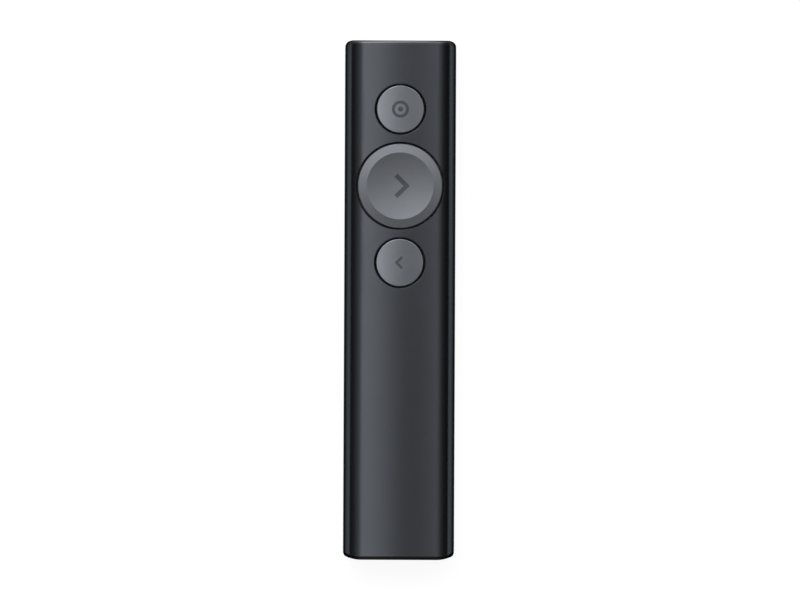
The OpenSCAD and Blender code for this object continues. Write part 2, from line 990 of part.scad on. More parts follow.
module usb_port_tongue() {
    color(black_plastic)
        intersection() {
            along_y(usb_mouth, usb_back)
                usb_outline(-shell_t - touch_gap);
            union() {
                box(0, body_w, usb_back - usb_back_wall, usb_back, 0, body_h);
                box(usb_x - usb_tongue_w / 2, usb_x + usb_tongue_w / 2,
                    usb_mouth + usb_tongue_inset, usb_back,
                    usb_z - usb_tongue_t / 2, usb_z + usb_tongue_t / 2);
            }
        }
}

// ---- Receiver and its bay ----

spring_foot_l = 1.6;
spring_lap = 0.3;
notch_r = 0.9;
plug_corner = 0.5;
plug_window = 2.2;
plug_window_x = 3;
plug_window_from_tip = 6;
tongue_setback = 0.3;
plug_base_l = 2;
contact_pitch = 2.3;
contact_w = 1;
contact_t = 0.15;
contact_setback = 1.2;

module receiver_bay() {
    window_half = spring_half + part_gap;
    color(frame_grey)
        difference() {
            intersection() {
                bay_envelope(0);
                along_y(-tube_end, bay_front)
                    section(tray_under);
            }
            along_y(-body_l, plug_root + part_gap)
                translate([-receiver_x, receiver_z])
                    rounded_rect(receiver_w + 2 * port_gap, receiver_h + 2 * port_gap,
                        receiver_corner + port_gap);
            along_y(-body_l, bay_floor_y)
                translate([-receiver_x, receiver_z])
                    square([plug_w + 2 * port_gap, plug_h + 2 * port_gap], center = true);
            translate([-receiver_x, 0, 0])
                box(-spring_w / 2 - part_gap, spring_w / 2 + part_gap, spring_y - window_half,
                    spring_y + window_half, receiver_z, 2 * body_h);
        }
}

// A bowed leaf that presses on the plug through the bay's roof
module bay_spring() {
    low = receiver_z + plug_h / 2 + touch_gap;
    roof = receiver_z + bay_h / 2;
    rise = roof - low;
    bow_r = (spring_half * spring_half + rise * rise) / (2 * rise);
    color(steel)
        translate([-receiver_x + spring_w / 2, spring_y, 0])
            rotate([90, 0, -90])
                linear_extrude(height = spring_w) {
                    intersection() {
                        translate([0, low + bow_r])
                            difference() {
                                circle(r = bow_r, $fn = shallow_fn);
                                circle(r = bow_r - spring_t, $fn = shallow_fn);
                            }
                        translate([-spring_half, 0])
                            square([2 * spring_half, roof + spring_t]);
                    }
                    for (s = [-1, 1])
                        translate([s * (spring_half + spring_foot_l / 2 - spring_lap),
                            roof + spring_t / 2])
                            square([spring_foot_l, spring_t], center = true);
                }
}

module receiver_body() {
    color(black_plastic)
        difference() {
            intersection() {
                along_y(-body_end, plug_root)
                    translate([-receiver_x, receiver_z])
                        rounded_rect(receiver_w, receiver_h, receiver_corner);
                plan_block(0);
            }
            // nail notch in the end face
            translate([-receiver_x, -body_end, receiver_z + receiver_h / 2])
                rotate([0, 90, 0])
                    cylinder(r = notch_r, h = receiver_w / 2, center = true);
        }
}

module receiver_plug_shell() {
    color(steel)
        difference() {
            along_y(plug_root, plug_tip)
                translate([-receiver_x, receiver_z])
                    difference() {
                        rounded_rect(plug_w, plug_h, plug_corner);
                        rounded_rect(plug_w - 2 * shell_t, plug_h - 2 * shell_t,
                            plug_corner - shell_t);
                    }
            for (s = [-1, 1])
                translate([-receiver_x + s * plug_window_x, plug_tip - plug_window_from_tip,
                    receiver_z])
                    cube([plug_window, plug_window, 2 * plug_h], center = true);
        }
}

module receiver_tongue() {
    half_w = plug_w / 2 - shell_t - part_gap;
    low = receiver_z - plug_h / 2 + shell_t + touch_gap;
    color(black_plastic)
        translate([-receiver_x, 0, 0]) {
            box(-half_w, half_w, plug_root, plug_tip - tongue_setback, low, receiver_z);
            box(-half_w, half_w, plug_root, plug_root + plug_base_l, low,
                2 * receiver_z - low);
        }
}

// Four flat contacts; the two outer ones, which meet first, reach further forward
module receiver_contacts() {
    color(gold)
        for (i = [0 : 3])
            translate([-receiver_x + (i - 1.5) * contact_pitch, 0, 0])
                box(-contact_w / 2, contact_w / 2, plug_root + plug_base_l + part_gap,
                    plug_tip - contact_setback - (i == 0 || i == 3 ? 0 : contact_w),
                    receiver_z, receiver_z + contact_t);
}

housing_tube();
front_cap();
rear_cap();
chassis();
main_board();
button_carrier();
carrier_screws();
pointer_button();
next_button();
back_button();
pointer_seal();
next_seal();
back_seal();
pointer_switch_base();
next_switch_base();
back_switch_base();
pointer_switch_cover();
next_switch_cover();
back_switch_cover();
pointer_dome();
next_dome();
back_dome();
pointer_plunger();
next_plunger();
back_plunger();
radio_shield();
radio_chip();
motion_sensor();
antenna();
battery_cell();
battery_tape();
battery_leads();
vibration_motor();
motor_pad();
usb_port_shell();
usb_port_tongue();
receiver_bay();
bay_spring();
receiver_body();
receiver_plug_shell();
receiver_tongue();
receiver_contacts();
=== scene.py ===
"""Looks of a wireless presentation clicker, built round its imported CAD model.

The frame is in metres: +X to the right, +Y towards the pointer key's end, +Z up. The smooth pieces are
worked out here in millimetres and scaled once, when each is made.
"""

import json
import math

import bmesh
import bpy
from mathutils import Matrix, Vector
from mathutils.geometry import delaunay_2d_cdt


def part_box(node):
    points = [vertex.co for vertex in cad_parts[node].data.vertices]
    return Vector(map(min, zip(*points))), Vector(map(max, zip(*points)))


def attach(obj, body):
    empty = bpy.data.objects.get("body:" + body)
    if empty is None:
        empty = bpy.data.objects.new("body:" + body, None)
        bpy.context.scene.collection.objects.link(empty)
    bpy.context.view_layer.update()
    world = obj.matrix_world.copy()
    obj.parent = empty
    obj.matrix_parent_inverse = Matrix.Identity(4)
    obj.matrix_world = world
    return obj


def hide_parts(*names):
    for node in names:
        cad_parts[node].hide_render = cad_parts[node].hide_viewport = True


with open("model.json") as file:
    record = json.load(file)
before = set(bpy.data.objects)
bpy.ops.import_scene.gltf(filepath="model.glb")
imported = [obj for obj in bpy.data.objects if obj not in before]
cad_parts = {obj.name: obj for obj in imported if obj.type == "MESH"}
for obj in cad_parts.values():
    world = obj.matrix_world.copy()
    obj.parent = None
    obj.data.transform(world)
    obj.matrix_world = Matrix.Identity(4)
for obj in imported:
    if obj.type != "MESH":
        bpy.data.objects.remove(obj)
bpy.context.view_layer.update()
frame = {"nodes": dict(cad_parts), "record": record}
MM = 0.001
QUARTER = math.pi / 2


# ---- Node helpers ----

NOISE_LOW, NOISE_HIGH = 0.3, 0.7  # nearly all of a noise's values lie between these


def new_material(name):
    """A material with its nodes and its Principled shader."""
    material = bpy.data.materials.new(name)
    material.use_nodes = True
    tree = material.node_tree
    return material, tree, tree.nodes["Principled BSDF"]


def add_node(tree, kind, inputs=None, **settings):
    """A node with its settings, its inputs set to values or linked to sockets."""
    node = tree.nodes.new(kind)
    for key, value in settings.items():
        setattr(node, key, value)
    for key, value in (inputs or {}).items():
        if isinstance(value, bpy.types.NodeSocket):
            tree.links.new(value, node.inputs[key])
        else:
            node.inputs[key].default_value = value
    return node


def math_node(tree, operation, a, b=0.0):
    """The result of one sum, on values or sockets."""
    return add_node(tree, "ShaderNodeMath", {0: a, 1: b}, operation=operation).outputs[0]


def noise(tree, scale, detail, stretch=(1, 1, 1)):
    """Noise in the object's own coordinates, in features per metre."""
    place = add_node(tree, "ShaderNodeTexCoord").outputs["Object"]
    mapped = add_node(tree, "ShaderNodeMapping", {"Vector": place, "Scale": stretch})
    node = add_node(tree, "ShaderNodeTexNoise",
                    {"Vector": mapped.outputs[0], "Scale": scale, "Detail": detail})
    return node.outputs["Fac"]


def spread(tree, fac, low, high):
    """The range of a noise's values, spread between low and high."""
    node = add_node(tree, "ShaderNodeMapRange",
                    {"Value": fac, "From Min": NOISE_LOW, "From Max": NOISE_HIGH, "To Min": low,
                     "To Max": high})
    return node.outputs["Result"]


def tinted(tree, fac, colour, change):
    """The colour, made darker and lighter by the share change as fac goes from low to high."""
    node = add_node(tree, "ShaderNodeMix", data_type="RGBA")
    tree.links.new(spread(tree, fac, 0, 1), node.inputs["Factor"])
    node.inputs["A"].default_value = [c * (1 - change) for c in colour] + [1]
    node.inputs["B"].default_value = [c * (1 + change) for c in colour] + [1]
    return node.outputs["Result"]


def mix_shaders(tree, share, first, second):
    """The first shader, with the given share of the second in its place."""
    mixed = add_node(tree, "ShaderNodeMixShader", {"Fac": share})
    tree.links.new(first.outputs[0], mixed.inputs[1])
    tree.links.new(second.outputs[0], mixed.inputs[2])
    return mixed


# ---- Materials ----

MOTTLE = 40  # how many times broader the patches of lighter and darker colour are than the grain
ROUGHNESS_CHANGE = 0.08
GRAIN_DEPTH = 0.02 * MM

CROWN_SIDE, FLANK_SIDE = 9.5 * MM, 11.5 * MM  # how far from the middle the crown ends and the flanks begin
# painted shade: the flanks keep less of the metal's glancing sheen than the crown, which darkens them
CROWN_SHEEN, FLANK_PAINTED_SHADE_SHEEN = 0.46, 0.22


def surface(name, colour, metallic, roughness, grain, bump, change=0.06, sheen=1.0, stretch=(1, 1, 1)):
    """A finish with a fine grain, in features per metre. Its colour varies by the share change, and its
    roughness and bump vary too. sheen is how much of a metal's full shine is left at a glancing angle."""
    material, tree, shader = new_material(name)
    shader.inputs["Metallic"].default_value = metallic
    shader.inputs["Specular Tint"].default_value = (sheen, sheen, sheen, 1)
    fine = noise(tree, grain, detail=3, stretch=stretch)
    broad = noise(tree, grain / MOTTLE, detail=4)
    tree.links.new(tinted(tree, broad, colour, change), shader.inputs["Base Color"])
    rough = spread(tree, fine, roughness * (1 - ROUGHNESS_CHANGE), roughness * (1 + ROUGHNESS_CHANGE))
    tree.links.new(rough, shader.inputs["Roughness"])
    lift = add_node(tree, "ShaderNodeBump", {"Height": fine, "Strength": bump, "Distance": GRAIN_DEPTH})
    tree.links.new(lift.outputs[0], shader.inputs["Normal"])
    return material


def paint_shade_on_flanks(material):
    """Paints shade on the flanks: less sheen at a glancing angle there than on the crown between them."""
    tree = material.node_tree
    place = add_node(tree, "ShaderNodeTexCoord").outputs["Object"]
    x = add_node(tree, "ShaderNodeSeparateXYZ", {"Vector": place}).outputs[0]
    sheen = add_node(tree, "ShaderNodeMapRange",
                     {"Value": math_node(tree, "ABSOLUTE", x), "From Min": CROWN_SIDE,
                      "From Max": FLANK_SIDE, "To Min": CROWN_SHEEN, "To Max": FLANK_PAINTED_SHADE_SHEEN})
    tree.links.new(sheen.outputs[0], tree.nodes["Principled BSDF"].inputs["Specular Tint"])


# The values are the colour, how metallic it is, the roughness, the grain and the strength of the bump.
MATERIALS = {
    "anodised_aluminium": surface("anodised_aluminium", (0.0475, 0.051, 0.0575), 0.98, 0.18, 9000, 0.3,
                                  change=0.02),
    "cap_plastic": surface("cap_plastic", (0.012, 0.012, 0.013), 1, 0.25, 6000, 0.15, sheen=0.02),
    "key_plastic": surface("key_plastic", (0.134, 0.142, 0.156), 1, 0.17, 9000, 0.3, change=0.02,
                           sheen=0.45),
    "frame_plastic": surface("frame_plastic", (0.03, 0.03, 0.032), 0, 0.55, 5000, 0.3),
    "circuit_board": surface("circuit_board", (0.02, 0.1, 0.05), 0, 0.4, 3000, 0.15),
    "chip_plastic": surface("chip_plastic", (0.02, 0.02, 0.02), 0, 0.6, 5000, 0.3),
    "bright_steel": surface("bright_steel", (0.55, 0.56, 0.57), 1, 0.28, 3000, 0.15, stretch=(1, 12, 1)),
    "gold_plate": surface("gold_plate", (0.75, 0.55, 0.2), 1, 0.22, 3000, 0.1),
    "foam": surface("foam", (0.01, 0.01, 0.01), 0, 0.9, 2500, 0.9),
    "battery_foil": surface("battery_foil", (0.6, 0.6, 0.62), 1, 0.32, 1200, 0.3),
    "wire_jacket": surface("wire_jacket", (0.45, 0.03, 0.02), 0, 0.45, 3000, 0.15),
    "receiver_plastic": surface("receiver_plastic", (0.015, 0.015, 0.016), 0, 0.38, 6000, 0.2),
}
# painted shade on the housing's flanks: darker at a glancing angle than the crown
paint_shade_on_flanks(MATERIALS["anodised_aluminium"])
# The large key is more matt than the small ones, and the front cap is a lighter copy of the rear cap's
# plastic: painted light, where its end catches the light.
DISHED_KEY = surface("dished_key", (0.093, 0.098, 0.107), 1, 0.5, 9000, 0.3, change=0.02, sheen=0.45)
# painted light: the same plastic as the rear cap, made lighter for the light that falls on the front end
FRONT_CAP_PAINTED_LIGHTER = surface("front_cap_painted_lighter", (0.052, 0.054, 0.0575), 1, 0.25, 6000, 0.15, sheen=0.03)
MARK_INK = surface("mark_ink", (0.043, 0.0455, 0.051), 1, 0.45, 9000, 0.15, sheen=0.2)
for part in frame["record"]["subparts"]:
    data = frame["nodes"][part["node"]].data
    data.materials.clear()
    data.materials.append(MATERIALS[part["material_slot"]])


# ---- Sizes, in millimetres ----


def box_mm(node):
    """The lowest and highest corner of a CAD node."""
    return [[round(c / MM, 3) for c in corner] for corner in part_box(node)]


TUBE_LOW, TUBE_HIGH = box_mm("housing_tube")
BODY_W = TUBE_HIGH[0] - TUBE_LOW[0]
BODY_H = TUBE_HIGH[2]
TUBE_END = TUBE_HIGH[1]
LIP = box_mm("front_cap")[1][1] - TUBE_END
SHOULDER_R = 5.5
CROWN_RISE = 0.55
TUBE_WALL = 1.2
MID_Z = BODY_H - CROWN_RISE - SHOULDER_R  # height of the widest line, and radius of the lower curves
LOW_X = BODY_W / 2 - MID_Z  # where the flat back ends
UP_X = BODY_W / 2 - SHOULDER_R  # the middle of a shoulder's curve
CROWN_R = (UP_X ** 2 + (SHOULDER_R + CROWN_RISE) ** 2 - SHOULDER_R ** 2) / (2 * CROWN_RISE)
CROWN_TILT = math.asin(UP_X / (CROWN_R - SHOULDER_R))
JOINT_SOFTNESS = 0.03  # how much the normal leans ahead where the crown meets a shoulder

# Each end seen from above: a curve of the first radius that begins the second length from the side
FRONT, REAR = 1, -1
END_CURVES = {FRONT: (3, 2.2), REAR: (9, 4.5)}
CORNER_R = 1  # the small round between an end's curve and the side
CORNER_PAST_SIDE = 0.1  # how far that round would reach past the side

EDGE_R = 0.1  # the softened edges on both sides of the seam between the tube and a cap
BEVEL_TILT = math.radians(36)  # the slope of the bevel round a key hole
BEVEL_SOFTNESS = 0.15  # the share of the bevel's width that is rounded at each side
RIM_R = 0.2  # the softened edges of the openings in the rear cap
COLLAR_GAP = 0.1
COLLAR_WALL = 0.9
COLLAR_L = 4
PORT_GAP = 0.15  # round the receiver and the charging socket
STRAIGHT = 0.001  # half the length of the short sides of an opening that is otherwise fully rounded

SKIRT_Z = box_mm("pointer_seal")[1][2]
PLUNGER_TOP = box_mm("pointer_plunger")[1][2]
KEY_SKIRT = 0.9  # the wall of the skirt
KEY_TOP_T = 0.9  # how thick a key's top is
PIN_R = 1.2
HOOK_T, HOOK_W, BARB_REACH, BARB_H = 0.8, 2.4, 0.5, 0.65
PART_GAP = 0.2
DISH_R = 8.45
DISH_SLOPE = math.radians(9)  # the same on both sides of the ridge round the dish
RIDGE_R = 0.35  # how sharply the next key's ridge turns
NEXT_EDGE_R = 0.2
SMALL_EDGE_R = 0.14
RECEIVER_CORNER = 0.8
INK = 0.012  # how far a printed mark stands above its key
RING_MARK_R, RING_MARK_HOLE_R, DOT_MARK_R = 2.15, 1.42, 0.64
NEXT_CHEVRON = (2.45, 6.2, 1.13)  # from the key's middle to the tip, height, stroke
BACK_CHEVRON = (1.27, 3.3, 0.62)


class Key:
    """Where a key is, how big it is, the gap round it, and how wide the bevel of its hole is."""

    def __init__(self, name, gap, hole_edge):
        low, high = box_mm(name + "_button")
        self.name = name
        self.y = (low[1] + high[1]) / 2
        self.top = high[2]
        self.bottom = low[2]
        self.radius = (high[1] - low[1]) / 2
        self.hole = self.radius + gap
        self.hole_edge = hole_edge


POINTER = Key("pointer", gap=0.33, hole_edge=0.31)
NEXT = Key("next", gap=0.43, hole_edge=0.15)
BACK = Key("back", gap=0.33, hole_edge=0.31)
KEYS = [BACK, NEXT, POINTER]


# ---- The housing's outline ----

FLAT_STEPS, ARC_STEPS, CROWN_STEPS = 4, 18, 14


def steps(first, last, count):
    """count + 1 evenly spaced values from first to last."""
    return [first + (last - first) * i / count for i in range(count + 1)]


def half_outline():
    """The right half of the cross-section, from the middle of the back round to the middle of the crown,
    as (x, z, normal's x, normal's z)."""
    samples = [(x, 0, 0, -1) for x in steps(0, LOW_X, FLAT_STEPS)[:-1]]
    for turn in steps(0, QUARTER, ARC_STEPS)[:-1]:
        nx, nz = math.sin(turn), -math.cos(turn)
        samples.append((LOW_X + MID_Z * nx, MID_Z + MID_Z * nz, nx, nz))
    top_xs = [UP_X + SHOULDER_R * math.cos(turn) for turn in steps(0, QUARTER - CROWN_TILT, ARC_STEPS)[:-1]]
    top_xs += [CROWN_R * math.sin(turn) for turn in steps(CROWN_TILT, 0, CROWN_STEPS)]
    for x in top_xs:
        z, (nx, _, nz) = roof(x)
        samples.append((x, z, nx, nz))
    return samples


def roof(x, raised=0.0):
    """Height and normal of the housing's top over x, raised along the normal. The normal turns smoothly
    where the crown meets a shoulder."""
    if abs(x) < (CROWN_R + raised) * math.sin(CROWN_TILT):
        centre_x, centre_z, radius = 0, BODY_H - CROWN_R, CROWN_R + raised
    else:
        centre_x, centre_z, radius = UP_X, MID_Z, SHOULDER_R + raised
    offset = (abs(x) - centre_x) / radius
    on_crown, on_shoulder = abs(x) / (CROWN_R + raised), (abs(x) - UP_X) / (SHOULDER_R + raised)
    lean = (on_crown + on_shoulder) / 2 + math.hypot((on_crown - on_shoulder) / 2, JOINT_SOFTNESS)
    lean = min(lean, 1) * math.copysign(1, x)
    height = centre_z + radius * math.sqrt(max(1 - offset * offset, 0))
    return height, (lean, 0, math.sqrt(1 - lean * lean))


RIGHT = half_outline()
OUTLINE = RIGHT + [(-x, z, -nx, nz) for x, z, nx, nz in reversed(RIGHT[1:-1])]


def rounded_outline(width, height, radius, x, z, corner_steps=6):
    """A rounded rectangle round (x, z), in the same form as the housing's outline."""
    samples = []
    for corner in range(4):
        for turn in steps(corner * QUARTER, (corner + 1) * QUARTER, corner_steps):
            nx, nz = math.cos(turn), math.sin(turn)
            side_x = (width / 2 - radius) * (1 if corner in (0, 3) else -1)
            side_z = (height / 2 - radius) * (1 if corner in (0, 1) else -1)
            samples.append((x + side_x + radius * nx, z + side_z + radius * nz, nx, nz))
    return samples


def fall(x, end):
    """How far a curved end lies back at x from its middle, and how steeply it falls there."""
    radius, reach = END_CURVES[end]
    start = BODY_W / 2 - reach
    corner_x = BODY_W / 2 + CORNER_PAST_SIDE - CORNER_R
    touch_x = start + (corner_x - start) * radius / (radius - CORNER_R)
    if abs(x) <= start:
        return 0, 0
    if abs(x) < touch_x:
        flat = math.sqrt(radius ** 2 - (abs(x) - start) ** 2)
        return radius - flat, (abs(x) - start) / flat
    corner_back = radius - math.sqrt((radius - CORNER_R) ** 2 - (corner_x - start) ** 2)
    flat = math.sqrt(CORNER_R ** 2 - (abs(x) - corner_x) ** 2)
    return corner_back - flat, (abs(x) - corner_x) / flat


def unit(vector):
    """The vector with a length of 1."""
    length = math.sqrt(sum(c * c for c in vector))
    return tuple(c / length for c in vector)


def facing(x, end):
    """The normal of an end's surface at x."""
    slope = fall(x, end)[1]
    return unit((math.copysign(slope, x), end, 0))


def end_sample(column, end, inset, along, tilt):
    """A point near an end, as (place, normal): inset from an outline, and along from the seam between
    tube and cap. The normal turns from the outline's own, at tilt 0, to the end's, at a quarter turn."""
    x, z, nx, nz = column
    x, z = x - inset * nx, z - inset * nz
    out = facing(x, end)
    level, lean = math.cos(tilt), math.sin(tilt)
    normal = unit((nx * level + out[0] * lean, out[1] * lean, nz * level))
    return (x, end * (TUBE_END - fall(x, end)[0] + along), z), normal


def flipped(columns):
    """An outline whose normals point inwards."""
    return [(x, z, -nx, -nz) for x, z, nx, nz in columns]


# ---- Mesh building ----

JOIN_DIGITS = 5  # places that agree to this many digits after the point are joined
TOUCHING = 1e-7  # points of a flat face that lie nearer than this are taken as one


class Shell:
    """A closed mesh made from samples, each a place with the true normal of its surface there."""

    def __init__(self):
        self.found = {}
        self.points = []
        self.faces = []
        self.normals = []

    def point(self, place):
        """The index of a point, shared by all the faces that meet there."""
        key = tuple(round(c, JOIN_DIGITS) for c in place)
        if key not in self.found:
            self.found[key] = len(self.points)
            self.points.append(place)
        return self.found[key]

    def face(self, samples):
        """One face, turned to the side that its normals point to. Corners that coincide are joined."""
        corners = []
        for place, normal in samples:
            index = self.point(place)
            if index not in [c[0] for c in corners]:
                corners.append((index, normal))
        if len(corners) < 3:
            return
        places = [Vector(self.points[index]) for index, _ in corners]
        across = places[2] - places[0]
        span = (places[-1] - places[1]) if len(places) > 3 else (places[1] - places[0])
        turned = across.cross(span) if len(places) > 3 else span.cross(across)
        if turned.dot(sum((Vector(normal) for _, normal in corners), Vector())) < 0:
            corners.reverse()
        self.faces.append([index for index, _ in corners])
        self.normals.extend(normal for _, normal in corners)

    def strip(self, first, second, closed=True):
        """Quads between two rows of samples."""
        count = len(first)
        for i in range(count if closed else count - 1):
            j = (i + 1) % count
            self.face([first[i], first[j], second[j], second[i]])

    def strips(self, rows):
        """Quads between each closed row of samples and the next."""
        for first, second in zip(rows, rows[1:]):
            self.strip(first, second)

    def prism(self, profile, low_y, high_y, turn):
        """A closed profile of (x, z) points drawn out along Y. turn is 1 where they run anticlockwise in a
        view along +Y, and -1 where they run clockwise."""
        for (x0, z0), (x1, z1) in zip(profile, profile[1:] + profile[:1]):
            normal = unit((turn * (z1 - z0), 0, turn * (x0 - x1)))
            self.face([((x, y, z), normal) for x, y, z in
                       ((x0, low_y, z0), (x1, low_y, z1), (x1, high_y, z1), (x0, high_y, z0))])
        for y, side in ((low_y, -1), (high_y, 1)):
            self.face([((x, y, z), (0, side, 0)) for x, z in profile])

    def fill(self, rims, sample, spacing):
        """Closes the plane inside the first rim and outside the others. Rims are rows of samples, and
        sample(x, z) gives the surface between them."""
        loops = [[(place[0], place[2]) for place, _ in rim] for rim in rims]
        low_x, high_x = (f(p[0] for p in loops[0]) for f in (min, max))
        low_z, high_z = (f(p[1] for p in loops[0]) for f in (min, max))
        samples = [s for rim in rims for s in rim]
        edge_points = [p for loop in loops for p in loop]
        for x in steps(low_x, high_x, round((high_x - low_x) / spacing))[1:-1]:
            for z in steps(low_z, high_z, round((high_z - low_z) / spacing))[1:-1]:
                clear = min(math.dist((x, z), p) for p in edge_points)
                if clear > spacing / 2 and is_inside((x, z), loops):
                    samples.append(sample(x, z))
        edges, start = [], 0
        for loop in loops:
            edges += [(start + i, start + (i + 1) % len(loop)) for i in range(len(loop))]
            start += len(loop)
        flat = [Vector((place[0], place[2])) for place, _ in samples]
        _, _, faces, origins, _, _ = delaunay_2d_cdt(flat, edges, [], 0, TOUCHING)
        for triangle in faces:
            corners = [samples[origins[i][0]] for i in triangle]
            middle = [sum(corner[0][axis] for corner in corners) / 3 for axis in (0, 2)]
            if is_inside(middle, loops):
                self.face([sample(corner[0][0], corner[0][2]) for corner in corners])

    def make(self, name, body, material, nodes=()):
        """Adds the finished piece, which rides on its body and stands for the CAD nodes."""
        data = bpy.data.meshes.new(name)
        data.from_pydata([[c * MM for c in point] for point in self.points], [], self.faces, shade_flat=False)
        data.normals_split_custom_set(self.normals)
        data.materials.append(material)
        piece = bpy.data.objects.new(name, data)
        bpy.context.scene.collection.objects.link(piece)
        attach(piece, body)
        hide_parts(*nodes)


def is_inside(point, loops):
    """Whether a point lies inside the loops, counting a loop within a loop as a hole."""
    inside = False
    for loop in loops:
        for (x0, z0), (x1, z1) in zip(loop, loop[1:] + loop[:1]):
            if (z0 > point[1]) != (z1 > point[1]):
                if point[0] < x0 + (point[1] - z0) * (x1 - x0) / (z1 - z0):
                    inside = not inside
    return inside


# ---- Housing tube ----

PATCH_HALF = 11.9  # half width of the stretch of the top that the key holes are cut in
PATCH_STEP = 0.8
PATCH_MARGIN = 0.5  # between the next key's hole and the edge of its patch
HOLE_RINGS = 5
LAST_PLAIN_ROW = 62
REAR_ROWS, FRONT_ROWS = 8, 2  # how many rows lie beyond the patches at each end
EDGE_STEPS = 4

# the columns of the outline between which the key holes lie
FIRST = max(i for i, column in enumerate(RIGHT) if column[0] >= PATCH_HALF)
LAST = len(OUTLINE) - FIRST


def grid_rows():
    """Where the rows of the tube's skin lie along Y, and each key's first and last row."""
    next_half = NEXT.hole + PATCH_MARGIN
    small_half = NEXT.y - BACK.y - next_half
    spans = {}
    ys = steps(-LAST_PLAIN_ROW, BACK.y - small_half, REAR_ROWS)
    for key, half in ((BACK, small_half), (NEXT, next_half), (POINTER, small_half)):
        first = len(ys) - 1
        ys += steps(key.y - half, key.y + half, round(2 * half / PATCH_STEP))[1:]
        spans[key] = (first, len(ys) - 1)
    return ys + steps(ys[-1], LAST_PLAIN_ROW, FRONT_ROWS)[1:], spans


ROW_YS, KEY_SPANS = grid_rows()


def patch_path(key):
    """The columns and rows that run once round a key's patch."""
    first, last = KEY_SPANS[key]
    path = [(column, first) for column in range(LAST, FIRST, -1)]
    path += [(FIRST, row) for row in range(first, last)]
    path += [(column, last) for column in range(FIRST, LAST)]
    return path + [(LAST, row) for row in range(last, first, -1)]


def hole_turns(key):
    """The directions from a hole's centre to the points round its patch."""
    return [math.atan2(ROW_YS[row] - key.y, OUTLINE[column][0]) for column, row in patch_path(key)]


def hole_ring(key, radius, drop, tilt, inset=0.0):
    """A ring of samples round a hole, drop below the surface that lies inset under the housing's top. The
    normal turns from the top's, at tilt 0, to the wall's, at a quarter turn."""
    ring = []
    for turn in hole_turns(key):
        x = radius * math.cos(turn)
        height, up = roof(x, -inset)
        wall = (-math.cos(turn), -math.sin(turn), 0)
        normal = unit([u * math.cos(tilt) + w * math.sin(tilt) for u, w in zip(up, wall)])
        ring.append(((x, key.y + radius * math.sin(turn), height - drop), normal))
    return ring


def skin(shell, inset, side, radii):
    """The tube's outer or inner surface, as far as its last plain rows, with a patch round each key hole.
    side is 1 outside and -1 inside. Returns the first and the last row."""
    rows = [[((x - inset * nx, y, z - inset * nz), (side * nx, 0, side * nz)) for x, z, nx, nz in OUTLINE]
            for y in ROW_YS]
    patches = range(FIRST, LAST)
    for row, (low, high) in enumerate(zip(rows, rows[1:])):
        at_key = any(first <= row < last for first, last in KEY_SPANS.values())
        for i in range(len(OUTLINE)):
            if not (at_key and i in patches):
                j = (i + 1) % len(OUTLINE)
                shell.face([low[i], low[j], high[j], high[i]])
    for key, radius in zip(KEYS, radii):
        edge = [rows[row][column] for column, row in patch_path(key)]
        rim = hole_ring(key, radius, 0, 0, inset)
        rings = [edge]
        for share in steps(0, 1, HOLE_RINGS)[1:-1]:
            ring = []
            for (start, _), (stop, _) in zip(edge, rim):
                x, y = (start[axis] + (stop[axis] - start[axis]) * share for axis in (0, 1))
                height, up = roof(x, -inset)
                ring.append(((x, y, height), tuple(side * c for c in up)))
            rings.append(ring)
        rings.append([(place, tuple(side * c for c in up)) for place, up in rim])
        shell.strips(rings)
    return rows[0], rows[-1]


def housing_tube():
    """The sleeve: its outer and inner skin, the bevelled key holes and the softened ends."""
    shell = Shell()
    outer_rows = skin(shell, 0, 1, [key.hole + key.hole_edge for key in KEYS])
    inner_rows = skin(shell, TUBE_WALL, -1, [key.hole for key in KEYS])
    for key in KEYS:
        edge, slope = key.hole_edge, math.tan(BEVEL_TILT)
        soft = edge * BEVEL_SOFTNESS
        profile = [(edge, 0, 0), (edge - soft, soft * slope / 2, BEVEL_TILT),
                   (soft, (edge - soft) * slope, BEVEL_TILT), (0, edge * slope + soft, QUARTER)]
        rings = [hole_ring(key, key.hole + out, drop, tilt) for out, drop, tilt in profile]
        shell.strips(rings + [hole_ring(key, key.hole, 0, QUARTER, TUBE_WALL)])
    for end, outer, inner in zip((REAR, FRONT), outer_rows, inner_rows):
        rows = [outer]
        for t in steps(0, QUARTER, EDGE_STEPS):
            inset, along = EDGE_R * (1 - math.cos(t)), EDGE_R * (math.sin(t) - 1)
            rows.append([end_sample(column, end, inset, along, t) for column in OUTLINE])
        rows.append([end_sample(column, end, TUBE_WALL, 0, QUARTER) for column in OUTLINE])
        rows.append([end_sample(column, end, -TUBE_WALL, 0, 0) for column in flipped(OUTLINE)])
        shell.strips(rows + [inner])
    shell.make("housing_tube_smooth", "housing", MATERIALS["anodised_aluminium"],
               ["housing_tube"])


# ---- End caps ----

FACE_SPACING, BACK_SPACING = 1.5, 2.5  # between the points inside a cap's flat faces


